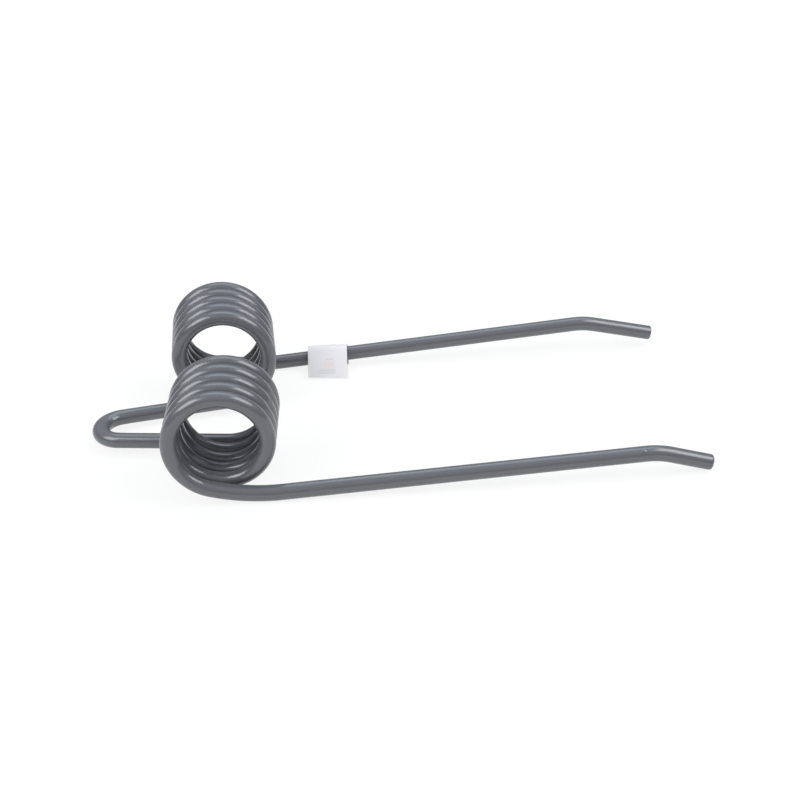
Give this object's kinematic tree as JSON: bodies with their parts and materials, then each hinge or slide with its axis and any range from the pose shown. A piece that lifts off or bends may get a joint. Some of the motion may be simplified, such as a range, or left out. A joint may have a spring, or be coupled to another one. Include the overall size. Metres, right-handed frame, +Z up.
{
  "type": "double torsion spring",
  "caption": "Double torsion spring of round wire: side-by-side coils joined by a U-shaped clamp loop, long legs with bent tips, and a small paper flag on one leg.",
  "frame": {"origin": "on the surface that the spring rests on, below the middle of its outline", "axes": "+X runs along the legs towards their tips, +Y across both coils from the front coil to the back coil, +Z up from the resting surface"},
  "size_m": [0.3516, 0.1686, 0.0658],
  "materials": {
    "coated_wire": "semi-gloss grey powder coat",
    "paper": "matt white label paper"
  },
  "bodies": {
    "root": {"spring": "coated_wire", "label": "paper"}
  },
  "joints": []
}
